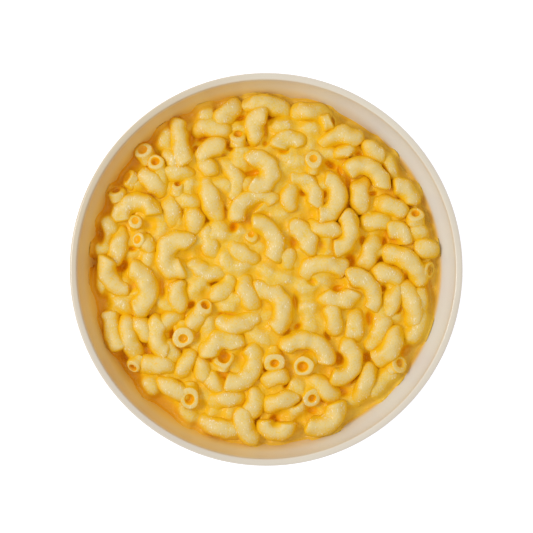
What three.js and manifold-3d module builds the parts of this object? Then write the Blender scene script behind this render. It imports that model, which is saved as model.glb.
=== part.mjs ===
// Macaroni and cheese in a round coupe bowl: a heap of short bent pasta tubes, half sunk in a
// thick cheese sauce that fills the bowl to about 12 mm below its rim.
// Millimetres, +Z up. The origin is on the table under the middle of the bowl, and the eater
// sits on the -Y side.

import * as THREE from "three";
import { mergeVertices } from "three/addons/utils/BufferGeometryUtils.js";
import Module from "manifold-3d";

const wasm = await Module();
wasm.setup();

// Bowl
const RIM_RADIUS = 93;
const RIM_HEIGHT = 56;
const LIP_THICKNESS = 3.4; // the lip is a half round of this thickness
const BASE_THICKNESS = 5;
const WALL_POWER = 5; // the inside rises with this power of the radius
const FOOT_HEIGHT = 2.4;
const FOOT_RADIUS = 48;
const FOOT_WIDTH = 5;
const FOOT_BEVEL = 0.8;
const BOWL_SIDES = 64;
const WALL_STEPS = 6;
const LIP_STEPS = 4;

const LIP_RADIUS = LIP_THICKNESS / 2;
const INNER_RADIUS = RIM_RADIUS - LIP_THICKNESS;
const FLOOR_HEIGHT = FOOT_HEIGHT + BASE_THICKNESS;
const INNER_DEPTH = RIM_HEIGHT - LIP_RADIUS - FLOOR_HEIGHT;

// Sauce
const GAP = 0.4; // between the food and the bowl
const SAUCE_HEIGHT = 43; // at the wall, on average
const SAUCE_SWELL = 1.8; // how much higher it stands away from the wall
const SAUCE_TILT = 1.2; // the far side stands this much higher than the average at the wall
const SAUCE_WAVE = 1; // and the two sides this much lower
const HIGH_SIDE = THREE.MathUtils.degToRad(100);
const CORE_SIDES = 28;
const SAUCE_RINGS = 5;

// Pasta
const TUBE_RADIUS = 4.25; // with its coat of sauce
const BORE_RADIUS = 1.5;
const BORE_DEPTH = 3;
const STANDING_BEND = 9; // radius of the centreline of a tube that stands on end
const BEND_SHARE = 0.28; // an elbow bulges at least this much of the distance between its ends
const TIP = THREE.MathUtils.degToRad(5); // the most that one end lies above the other
const TUBE_SIDES = 7;
const BORE_SIDES = 6;
const STEP_TURN = THREE.MathUtils.degToRad(38); // the bend in one straight stretch of tube
const GOLDEN_ANGLE = Math.PI * (3 - Math.sqrt(5));

// Height of the highest point of a tube
const TOP = 49.4;
const MID = 48.1;
const LOW = 46.8;

// Elbows that show their side. Each has its two ends in plan, how far its back bulges to the
// left of the line from the first to the second, and its height.
const ELBOWS = [
  // far side, from the left
  [-49, 58, -45.5, 68.5, 0.8, LOW],
  [-42, 73, -38, 50, -2, TOP],
  [-33, 73.5, -24.5, 75, 1.2, LOW],
  [-35, 68, -18.5, 65, 2, MID],
  [-22.5, 70.5, -14, 78.5, 1.2, MID],
  [-10, 77.5, 9.5, 74, 4.1, MID],
  [-2.5, 61, 2.5, 77.5, 5.2, TOP],
  [13.5, 75.5, 28, 74, 1, MID],
  [5, 68.5, 14, 68, 0.5, LOW],
  [18, 67, 25, 68, 0.5, LOW],
  [5, 57.5, 17, 58.5, 4.8, MID],
  [27.5, 60, 44.5, 60, 4.4, TOP],
  [36, 52.5, 42, 55, 2.5, MID],
  [50, 62.5, 57.5, 54.8, -3, MID],
  [58, 55.5, 60, 44.5, 0.5, LOW],
  // left of the middle, behind
  [-20.5, 59, -30.5, 51.5, -3, TOP],
  [-31, 49, -24, 44, 1.5, MID],
  [-28.5, 44, -22.5, 25, -1.6, TOP],
  [-17, 55.5, -4.5, 53.8, 0.8, LOW],
  [-22, 52, -13.5, 45.5, 0.5, MID],
  [-17.3, 46, -16.5, 31.5, 0.3, MID],
  [-8, 52, -5, 43, 9.2, TOP],
  [-15.5, 21.5, 6.5, 32, 8.8, TOP],
  [-46, 58, -44.5, 49, 0.5, MID],
  [-48, 46, -36.5, 46.5, 0.4, MID],
  [-58, 45, -49, 37.5, 1, TOP],
  [-45, 34.5, -33, 31.5, 0.4, MID],
  [-46.5, 33, -44.5, 21, 0.5, MID],
  [-35, 29, -35, 19, 0.5, MID],
  [-25, 22, -20, 18, 0, LOW],
  // right of the middle, behind
  [13, 29, 14.5, 44, 2.6, MID],
  [15, 44, 22, 29, 5.1, MID],
  [25, 31, 30, 37, 0, LOW],
  [25, 26, 28, 44, -8.2, TOP],
  [38, 47.5, 55, 40, 7.1, TOP],
  [47, 43, 47, 29, -2.5, MID],
  [65, 41, 70.5, 32, 3, MID],
  [53, 35, 65.5, 26, 0.8, MID],
  [70, 19.5, 76, 17.2, 0, LOW],
  [73.5, 9.5, 81, 10, 0.3, MID],
  [46.5, 21, 57.5, 22.5, 0.8, LOW],
  [58, 19, 67.5, 12, 3.2, MID],
  [36.5, 27, 32.5, 9.5, 6, TOP],
  [21.5, 20, 34.5, 18, 0.3, TOP],
  // middle
  [-28, 20, -23.5, 4, -1.2, MID],
  [-18, 14, -5, 6, -1.7, MID],
  [-36.5, 10.5, -38, 2, -12, TOP],
  [-7.5, 22.5, 2.5, 4.5, 6.4, TOP],
  [11, 19.5, 18, 7.5, 4.8, TOP],
  [10.5, 8, 10.5, 1, 0, LOW],
  [-35.5, 4.5, -19, 0.5, -3.8, MID],
  [-18, -3, -26, -12.5, 3, MID],
  [-43, -8, -42.5, -19, 0.5, TOP],
  [-11, -4, -5.5, -18, -1.1, MID],
  [-5.5, -9.5, 3, -28.5, 9.6, TOP],
  [15, -7, 22, -13, 0, LOW],
  [-22.5, -25, -3, -19.5, -4, TOP],
  [18.5, -2, 36, 0, 4, TOP],
  [27, -11, 43, -10, -4.9, MID],
  [31, -19.5, 33, -29.5, 0.5, TOP],
  // left side
  [-69.5, 22, -54, 27, 8, TOP],
  [-77, 24, -74, 18, 0, LOW],
  [-81.5, 9.5, -76, 10, 0, LOW],
  [-70, 18.5, -74.5, 5, 1.6, MID],
  [-75, 5, -69, -5, -4.5, TOP],
  [-65.5, 0, -63, -19.5, 8, TOP],
  [-76, -12, -67, -14, 0.5, LOW],
  [-76, -20, -71.5, -37.5, -1.5, LOW],
  [-66.5, -24, -61.5, -43, -2, TOP],
  [-62, -25, -57, -33, 0.5, MID],
  [-50, -23, -46, -39.5, -5.2, TOP],
  [-51, -28, -41, -22, 0.5, MID],
  // right side
  [53, 17, 53.5, 9, 0.5, LOW],
  [50, 9, 46, 2, 0.5, MID],
  [57.5, 7.5, 74.5, -7, 4.6, TOP],
  [53, -1.5, 64, -4.5, 0.8, MID],
  [64.5, -7.5, 59.5, -20, 0.8, MID],
  [67, -10, 69, -31, 3, TOP],
  [73.5, -9.5, 74.5, -19, 1, LOW],
  [77, -20, 70.5, -35, 2.5, LOW],
  [40.5, -4, 50, -19.5, 6.2, TOP],
  [42.5, -18.5, 42, -33, 0.6, MID],
  [55, -20, 51, -35, 2.8, MID],
  [62, -29, 53, -43, 3, TOP],
  // near side, from the left
  [-60, -46.3, -46, -46, 0.6, TOP],
  [-47.5, -36, -43.5, -43.5, -0.6, MID],
  [-58, -53, -54, -59, 0.5, LOW],
  [-50.5, -54.5, -39, -61.5, 0.6, MID],
  [-36, -40, -42, -50, 0.5, MID],
  [-33, -42, -30, -52, 0.5, MID],
  [-29, -51, -20, -60, 0.8, MID],
  [-26, -64, -12, -62, 0.8, MID],
  [-31, -72.5, -12, -77, -1.8, MID],
  [-28, -42, -15, -39, 6.8, TOP],
  [-9, -36, -18.5, -53.5, 8.6, TOP],
  [-9, -31, 3, -37, 1.3, LOW],
  [10, -40, 28, -44.5, 8.6, TOP],
  [35.5, -35.5, 34, -50.5, 7.4, TOP],
  [49.5, -47.5, 44, -60, 1, TOP],
  [57, -52, 50, -61, 1, MID],
  [-6, -58, -9, -70, 2.4, MID],
  [-9, -68, -5, -80.5, -3.6, TOP],
  [20, -52, 32, -62, 0.8, TOP],
  [12, -54, 19, -60, 0.3, LOW],
  [0, -54, 9, -51, 0.4, MID],
  [-0.5, -66, 12, -62, 0.6, TOP],
  [12, -69, 18, -65, 0.3, LOW],
  [-1, -72, 11, -73, -5.6, TOP],
  [20, -75, 33.5, -64.5, -6.5, TOP],
];

// Elbows that stand with an open end up. Each has the middle of that end in plan, the
// direction in which the tube leaves it and how far the end leans that way from facing
// straight up, both in degrees, and its height.
const STANDING = [
  [-59.3, 57.3, 295, 25, MID],
  [-53.5, 51.8, 300, 30, TOP],
  [-66.5, 45, 320, 45, MID],
  [-72, 38, 280, 45, LOW],
  [-42.6, 41, 250, 40, MID],
  [-63, 24, 270, 15, LOW],
  [-62, 14, 330, 25, TOP],
  [-13.5, 64.5, 270, 35, MID],
  [31, 71, 250, 40, MID],
  [22.5, 53, 270, 20, MID],
  [71.5, 27, 270, 30, MID],
  [78.5, -1, 180, 45, MID],
  [-7.5, 16.5, 200, 30, LOW],
  [-29, -17, 233, 40, TOP],
  [-39.7, -33, 90, 15, TOP],
  [-20, -41.5, 260, 30, MID],
  [-64, -47, 60, 40, MID],
  [65.3, -44.5, 250, 20, MID],
  [-37, -62.3, 90, 20, MID],
  [3.8, -45, 90, 20, MID],
  [17.6, -46.6, 45, 15, MID],
  [22, -62, 100, 20, MID],
  [15.5, -27, 90, 20, LOW],
];

// Low elbows that fill what the others leave, on a sunflower spiral of spots.
const FILL_SPOTS = 150;
const FILL_REACH = 76; // of the spiral
const FILL_CLEARANCE = 7.5; // from a spot to the nearest centreline in plan
const FILL_CHORD = 12;
const FILL_BULGE = 3;

const UP = new THREE.Vector3(0, 0, 1);

function inPlan(angle) {
  return new THREE.Vector3(Math.cos(angle), Math.sin(angle), 0);
}

// Points on the bowl's inside from the middle of its floor to the lip, moved outwards through
// the wall by a distance. Each step turns the profile by the same angle.
function wallProfile(steps, moveOut) {
  const lipSlope = (WALL_POWER * INNER_DEPTH) / INNER_RADIUS;
  const points = [];
  for (let i = 0; i <= steps; i++) {
    const slope = Math.atan(lipSlope) * (i / steps);
    const share = (Math.tan(slope) / lipSlope) ** (1 / (WALL_POWER - 1));
    const move = moveOut(share);
    points.push(
      new THREE.Vector2(
        INNER_RADIUS * share + move * Math.sin(slope),
        FLOOR_HEIGHT + INNER_DEPTH * share ** WALL_POWER - move * Math.cos(slope),
      ),
    );
  }
  return points;
}

// Radius of a wall profile at a height.
function radiusAt(profile, z) {
  const next = profile.findIndex((p) => p.y > z);
  const below = profile[next - 1];
  const above = profile[next];
  return THREE.MathUtils.mapLinear(z, below.y, above.y, below.x, above.x);
}

// A closed profile turned about the Z axis.
function turned(profile, sides) {
  return new THREE.LatheGeometry(profile, sides).rotateX(Math.PI / 2);
}

function bowlGeometry() {
  const thickness = (share) => THREE.MathUtils.lerp(BASE_THICKNESS, LIP_THICKNESS, share);
  const foot = [
    new THREE.Vector2(0, FOOT_HEIGHT),
    new THREE.Vector2(FOOT_RADIUS - FOOT_WIDTH, FOOT_HEIGHT),
    new THREE.Vector2(FOOT_RADIUS - FOOT_WIDTH + FOOT_BEVEL, 0),
    new THREE.Vector2(FOOT_RADIUS - FOOT_BEVEL, 0),
    new THREE.Vector2(FOOT_RADIUS, FOOT_HEIGHT),
  ];
  const outside = wallProfile(WALL_STEPS, thickness).filter((p) => p.x > FOOT_RADIUS);
  const lip = [];
  for (let i = 0; i < LIP_STEPS; i++) {
    const angle = (Math.PI * i) / LIP_STEPS;
    lip.push(
      new THREE.Vector2(
        RIM_RADIUS - LIP_RADIUS + LIP_RADIUS * Math.cos(angle),
        RIM_HEIGHT - LIP_RADIUS + LIP_RADIUS * Math.sin(angle),
      ),
    );
  }
  const inside = wallProfile(WALL_STEPS, () => 0).reverse();
  return turned([...foot, ...outside, ...lip, ...inside], BOWL_SIDES);
}

// Height of the sauce over a point in plan. Its share of the way to the wall is 0 to 1.
function sauceHeight(angle, share) {
  const fromHighSide = angle - HIGH_SIDE;
  const tilt = SAUCE_TILT * Math.cos(fromHighSide) + SAUCE_WAVE * Math.cos(2 * fromHighSide);
  return SAUCE_HEIGHT + SAUCE_SWELL * (1 - share ** 4) + tilt * share ** 4;
}

// The sauce down to the floor of the bowl, with its uneven top.
function sauceGeometry() {
  const side = wallProfile(WALL_STEPS, () => -GAP);
  const bottom = side.filter((p) => p.y < SAUCE_HEIGHT);
  // The top is turned with its radii as shares of the way to the wall, and then gets its form.
  const top = [];
  for (let i = SAUCE_RINGS; i >= 0; i--) {
    top.push(new THREE.Vector2(i / SAUCE_RINGS, SAUCE_HEIGHT));
  }
  const geometry = turned([...bottom, ...top], CORE_SIDES);
  const position = geometry.attributes.position;
  for (let i = 0; i < position.count; i++) {
    if (position.getZ(i) < SAUCE_HEIGHT - GAP) continue;
    const share = Math.hypot(position.getX(i), position.getY(i));
    const angle = Math.atan2(position.getY(i), position.getX(i));
    const height = sauceHeight(angle, share);
    const radius = share * radiusAt(side, height);
    position.setXYZ(i, radius * Math.cos(angle), radius * Math.sin(angle), height);
  }
  return geometry;
}

// A circular arc in space about a centre, from one turn to another. The vectors out and along
// are as long as its radius.
class Arc extends THREE.Curve {
  constructor(centre, out, along, from, to) {
    super();
    Object.assign(this, { centre, out, along, from, to });
  }

  getPoint(share, target = new THREE.Vector3()) {
    const turn = THREE.MathUtils.lerp(this.from, this.to, share);
    return target
      .copy(this.centre)
      .addScaledVector(this.out, Math.cos(turn))
      .addScaledVector(this.along, Math.sin(turn));
  }

  get steps() {
    return Math.max(3, Math.round((this.to - this.from) / STEP_TURN));
  }
}

// The centreline of an elbow that shows its side. The flatter its bulge looks from above, the
// more it stands up on its ends, because every elbow is bent.
function elbowArc([x1, y1, x2, y2, bulge, top], index) {
  const chord = Math.hypot(x2 - x1, y2 - y1);
  const bulgeTrue = Math.max(Math.abs(bulge), BEND_SHARE * chord);
  const radius = (chord ** 2 / 4 + bulgeTrue ** 2) / (2 * bulgeTrue);
  const lean = Math.acos(Math.abs(bulge) / bulgeTrue);
  const heading = Math.atan2(y2 - y1, x2 - x1);
  const side = inPlan(heading + (Math.sign(bulge) || 1) * (Math.PI / 2));
  const tip = TIP * Math.sin(index * GOLDEN_ANGLE);
  const crest = new THREE.Vector3((x1 + x2) / 2, (y1 + y2) / 2, 0)
    .addScaledVector(side, Math.abs(bulge))
    .setZ(top - TUBE_RADIUS - (Math.abs(tip) * chord) / 2);
  const out = side.clone().multiplyScalar(Math.cos(lean)).addScaledVector(UP, Math.sin(lean));
  const along = inPlan(heading).multiplyScalar(Math.cos(tip)).addScaledVector(UP, Math.sin(tip));
  const centre = crest.clone().addScaledVector(out, -radius);
  const halfTurn = 2 * Math.atan2(bulgeTrue, chord / 2);
  out.multiplyScalar(radius);
  along.multiplyScalar(radius);
  return new Arc(centre, out, along, -halfTurn, halfTurn);
}

// The centreline of an elbow that stands with an open end up, from that end down.
function standingArc([x, y, toward, lean, top]) {
  const heading = inPlan(THREE.MathUtils.degToRad(toward));
  const angle = THREE.MathUtils.degToRad(lean);
  const end = new THREE.Vector3(x, y, top - TUBE_RADIUS * Math.sin(angle));
  const down = heading.clone().multiplyScalar(Math.sin(angle)).addScaledVector(UP, -Math.cos(angle));
  const inward = heading.multiplyScalar(Math.cos(angle)).addScaledVector(UP, Math.sin(angle));
  const centre = end.addScaledVector(inward, STANDING_BEND);
  inward.multiplyScalar(-STANDING_BEND);
  down.multiplyScalar(STANDING_BEND);
  return new Arc(centre, inward, down, 0, Math.PI / 2 - angle);
}

// Moves an arc towards the middle of the bowl until its tube clears the wall.
function clearOfWall(arc) {
  const limit = wallProfile(WALL_STEPS, () => -TUBE_RADIUS * cornerShare(TUBE_SIDES) - GAP);
  const past = arc
    .getPoints(arc.steps)
    .map((point) => Math.hypot(point.x, point.y) - radiusAt(limit, point.z));
  const excess = Math.max(0, ...past);
  const middle = arc.getPoint(0.5).setZ(0).normalize();
  arc.centre.addScaledVector(middle, -excess);
  return arc;
}

// Low elbows on the spots of a sunflower spiral that the other centrelines leave free.
function fillArcs(arcs) {
  const points = arcs.flatMap((arc) => arc.getPoints(arc.steps));
  const fills = [];
  for (let i = 0; i < FILL_SPOTS; i++) {
    const radius = FILL_REACH * Math.sqrt((i + 0.5) / FILL_SPOTS);
    const spot = inPlan(i * GOLDEN_ANGLE).multiplyScalar(radius);
    if (points.some((p) => Math.hypot(p.x - spot.x, p.y - spot.y) < FILL_CLEARANCE)) continue;
    const half = inPlan(i * i * GOLDEN_ANGLE).multiplyScalar(FILL_CHORD / 2);
    const from = spot.clone().sub(half);
    const to = spot.clone().add(half);
    const arc = clearOfWall(elbowArc([from.x, from.y, to.x, to.y, FILL_BULGE, LOW], i));
    fills.push(arc);
    points.push(...arc.getPoints(arc.steps));
  }
  return fills;
}

// How far out the corners of a regular polygon lie for a circle of the same area.
function cornerShare(sides) {
  const step = (2 * Math.PI) / sides;
  return Math.sqrt(step / Math.sin(step));
}

// A regular polygon whose area is that of a circle of the radius.
function polygon(radius, sides) {
  const corner = radius * cornerShare(sides);
  const points = [];
  for (let i = 0; i < sides; i++) {
    const angle = (2 * Math.PI * (i + 0.5)) / sides;
    points.push(new THREE.Vector2(corner * Math.cos(angle), corner * Math.sin(angle)));
  }
  return new THREE.Shape(points);
}

function tubeGeometry(arc) {
  return new THREE.ExtrudeGeometry(polygon(TUBE_RADIUS, TUBE_SIDES), {
    steps: arc.steps,
    extrudePath: arc,
    bevelEnabled: false,
  });
}

// A plug that cuts the mouth of the bore into the standing end of an arc.
function boreGeometry(arc) {
  const down = arc.along.clone().normalize();
  const mouth = arc.getPoint(0).addScaledVector(down, -BORE_DEPTH);
  const floor = arc.getPoint(0).addScaledVector(down, BORE_DEPTH);
  return new THREE.ExtrudeGeometry(polygon(BORE_RADIUS, BORE_SIDES), {
    steps: 1,
    extrudePath: new THREE.LineCurve3(mouth, floor),
    bevelEnabled: false,
  });
}

function solid(geometry) {
  geometry.deleteAttribute("normal");
  geometry.deleteAttribute("uv");
  const merged = mergeVertices(geometry, 1e-4);
  return new wasm.Manifold(
    new wasm.Mesh({
      numProp: 3,
      vertProperties: merged.attributes.position.array,
      triVerts: new Uint32Array(merged.index.array),
    }),
  );
}

function geometryOf(body) {
  const mesh = body.getMesh();
  return new THREE.BufferGeometry()
    .setAttribute("position", new THREE.BufferAttribute(mesh.vertProperties, 3))
    .setIndex(new THREE.BufferAttribute(mesh.triVerts, 1));
}

// The largest body of a solid, with the hollows inside it filled.
function outerBody(body) {
  return body.decompose().reduce((most, next) => (next.volume() > most.volume() ? next : most));
}

function heapGeometry() {
  const lying = ELBOWS.map((row, i) => clearOfWall(elbowArc(row, i)));
  const standing = STANDING.map((row) => clearOfWall(standingArc(row)));
  const arcs = [...lying, ...standing];
  arcs.push(...fillArcs(arcs));
  let heap = solid(sauceGeometry());
  for (const arc of arcs) heap = heap.add(solid(tubeGeometry(arc)));
  for (const arc of standing) heap = heap.subtract(solid(boreGeometry(arc)));
  return geometryOf(outerBody(heap));
}

const bowl = new THREE.Mesh(
  bowlGeometry(),
  new THREE.MeshStandardMaterial({ color: 0xe2d9c8, roughness: 0.35, metalness: 0 }),
);
bowl.name = "bowl";

const macaroni = new THREE.Mesh(
  heapGeometry(),
  new THREE.MeshStandardMaterial({ color: 0xe2b24e, roughness: 0.4, metalness: 0 }),
);
macaroni.name = "macaroni";

const dish = new THREE.Group();
dish.add(bowl, macaroni);

export default dish;
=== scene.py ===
"""Looks for macaroni and cheese in a round coupe bowl.

Lengths in this script are in millimetres, and meshes are made in metres. The eater sits on the
-Y side, and the picture is taken from straight above.
"""

import math

import bpy
import numpy as np
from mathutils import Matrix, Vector


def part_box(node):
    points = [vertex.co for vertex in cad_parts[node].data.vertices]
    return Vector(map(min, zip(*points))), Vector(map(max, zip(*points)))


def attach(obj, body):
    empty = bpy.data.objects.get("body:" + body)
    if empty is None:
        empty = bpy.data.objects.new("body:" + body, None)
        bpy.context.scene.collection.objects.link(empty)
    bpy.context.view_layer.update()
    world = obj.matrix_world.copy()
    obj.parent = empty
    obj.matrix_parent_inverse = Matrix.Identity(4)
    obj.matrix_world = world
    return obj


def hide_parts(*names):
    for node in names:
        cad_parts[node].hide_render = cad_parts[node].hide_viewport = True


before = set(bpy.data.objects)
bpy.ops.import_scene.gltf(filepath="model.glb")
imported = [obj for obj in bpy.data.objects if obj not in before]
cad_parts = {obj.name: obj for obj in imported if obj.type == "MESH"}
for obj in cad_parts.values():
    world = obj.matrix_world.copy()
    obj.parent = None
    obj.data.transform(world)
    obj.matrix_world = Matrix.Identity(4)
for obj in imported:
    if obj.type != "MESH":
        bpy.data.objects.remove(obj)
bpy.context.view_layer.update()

MM = 0.001  # metres
GOLDEN_ANGLE = math.pi * (3 - math.sqrt(5))
UP = np.array([0.0, 0.0, 1.0])
WAVE_SPREAD = (0.7, 1.4)  # the waves of a noise are this many times its length

# Bowl, as in the solids
BOWL_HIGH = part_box("bowl")[1]
RIM_RADIUS = BOWL_HIGH.x / MM
RIM_HEIGHT = BOWL_HIGH.z / MM
LIP_THICKNESS = 3.4
BASE_THICKNESS = 5
WALL_POWER = 5  # the inside rises with this power of the radius
FOOT_HEIGHT = 2.4
FOOT_RADIUS = 48
FOOT_WIDTH = 5

LIP_RADIUS = LIP_THICKNESS / 2
INNER_RADIUS = RIM_RADIUS - LIP_THICKNESS
FLOOR_HEIGHT = FOOT_HEIGHT + BASE_THICKNESS
INNER_DEPTH = RIM_HEIGHT - LIP_RADIUS - FLOOR_HEIGHT

# Bowl, finer than the solid
BOWL_SIDES = 192
FINE_WALL_STEPS = 28
LIP_STEPS = 7
LIP_INNER_ROUND = 0.8  # of the rim's inner edge
LIP_OUTER_ROUND = 1.3
LIP_FALL = 0.02  # from the inner edge to the outer
FOOT_ROUND = 1.0  # radius of the foot ring's edges
FOOT_ROUND_STEPS = 5
FOOT_CHAMFER = (1, 0.4)  # width and height, between the ring's inside and the underside
FOOT_SPACE = 0.5  # from the ring to the first point of the outside
BOWL_AXIS_GAP = 0.01  # radius of the small flat faces that close the bowl in its middle

# Sauce
SAUCE_HEIGHT = 43  # of the solid at the wall, on average
SAUCE_DROP = 2.6  # how much lower the sauce lies between the elbows
SAUCE_SWELL = 2.4  # how much higher it stands away from the wall
SWELL_POWER = 4  # the higher, the wider is the level part in the middle
SAUCE_TILT = 0.1  # the far side stands this much higher than the average at the wall
SAUCE_WAVE = 0.6  # and the two sides this much lower
HIGH_SIDE = math.radians(100)
SAUCE_DIP = 1.8  # how much lower it lies along the wall on the side where the elbows are drier
DIP_POWER = 8
# A zone of the bowl is a bearing, and the cosines of the angle from it where the zone begins
# and where it is full.
DRY_ZONE = (math.radians(22), -0.35, 0.5)
SAUCE_CELLS = 290  # of the top, from side to side
WALL_REACH = 0.8  # how far the sauce reaches into the wall, so that no gap shows
WALL_CLIMB = 2.2  # how much further it climbs the elbows along the wall's gap
WALL_ZONE = (74, 82)  # radii between which it begins to
EDGE_CLIMB = 3  # how far above its level the top's edge lies in the wall
UNDER_GAP = 0.4  # between its underside and the bowl
UNDER_STEPS = 7
UNDER_TOP = SAUCE_HEIGHT - 5  # the highest loop of the underside
AXIS_GAP = 0.02  # radius of the small flat faces that close the sauce and the bores
FIELD_STEP = 0.4  # of the height fields
FIELD_HALF = 92
FILLET_RADIUS = 3.0  # of the sauce where it meets the elbows
CLIMB = 2.3  # how far the sauce rises on the sides of an elbow
CLIMB_SPREAD = 0.9
CLIMB_LENGTH = 16
TUCK = 0.3  # how far below the surface of an elbow it goes on
COVER_BLUR = 0.5
AROUND = 2.7  # distance over which the food's mean height is taken
MOUTH_DEPTH = 4.2  # how far the sauce stays below the mouth of a bore
MOUTH_EDGE = (0.5, 0.8)  # full depth within, and level past, these shares of its radius
WALL_SINK = 0.8  # how far behind the wall's surface it goes on
THIN = 0.15  # the sauce ends where it gets thinner than this
WALL_FILLET = 1.3  # radius of the sauce where it meets the wall
RIPPLE = 0.35
RIPPLE_LENGTH = 12
CURD = 0.06
CURD_LENGTH = 3.5
CALM_RING = (77, 81)  # radii between which the sauce gets smooth
RIPPLE_SEED = 5
CURD_SEED = 6
CLIMB_SEED = 7

# Pasta
TUBE_RADIUS = 4.65  # with its coat of sauce
SIZE_SPREAD = 0.05
SIZE_TURN = 7  # radians of a sine wave from one elbow's size to the next one's
STANDING_BEND = 9  # radius of the centreline of a tube that stands on end
STANDING_TURN = math.pi / 4  # and the least that it turns
# An elbow bulges at least this much of the distance between its ends. The smaller shares are
# for those that lie along the wall.
BEND_SHARES = (0.28, 0.2, 0.13, 0.07)
TIP_CLEARANCE = 0.5  # of a rounded end from the wall
WALL_OVERLAP = 0.8  # how far a tube's side is pressed into the wall
WALL_GAP = 2.0  # and how much further it keeps from the wall on one side
GAP_ZONE = (math.radians(-10), 0.3, 0.7)
MOST_MOVE = 0.3  # an elbow that clears the wall only by moving more than this is laid flatter
BODY_SAMPLES = 7  # of a tube's centreline, held against the wall
KNOTS = 9  # of a centreline, held against spots in plan
TIP = math.radians(8)  # the most that one end lies above the other
TUBE_SIDES = 20
RING_STEP = 1.1  # between the sections of a tube
END_SHARE = 0.55  # length of the rounded end of a tube, of its radius
END_STEPS = 6
END_BLUNTNESS = 3  # 2 is an ellipse, and more is blunter
END_INSET = 0.8  # of the tube's radius, by which the sauce takes each end for shorter
SLANT = 0.22  # the most that an end is cut askew, of the tube's radius
SLANT_REACH = 1.5  # how far from the end that shows, of the tube's radius
OVAL = 0.05
LIP_ROUND = 1.05  # of the rim of an open end
LIP_OUTER_SHARE = 1.2  # the outer round, of the inner one
SHALLOW_BORE = 1.5  # a bore less deep than this, of the rim's round, has half that round
BORE_FLOOR = (0.1, 0.7)  # height of the floor's edge, and its share of the bore's radius
BORE_WAIST = (0.6, 0.95)  # shares of the bore's depth and radius
LUMP = 0.07  # of the tube's radius
LUMP_LENGTH = 7
LYING_SEED = 0
STANDING_SEED = 2000
# Painted shade: bores take the deeper colour of gaps.
BORE_SHADE_DROP = 5  # the inside of a bore counts as this much lower
# Relief picks the sauce's colour, so higher points are painted paler, partly as painted highlight.
HEIGHT_SHARE = 0.25  # of the height above the sauce at the wall that counts as well
STEEP_SHADE = 0.9  # how much of the sky a steep side misses
GAP_SHADE = 0.33  # and each millimetre below the food around

# Height of the highest point of a tube
TOP = 49.4
MID = 48.1
LOW = 46.8

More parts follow.
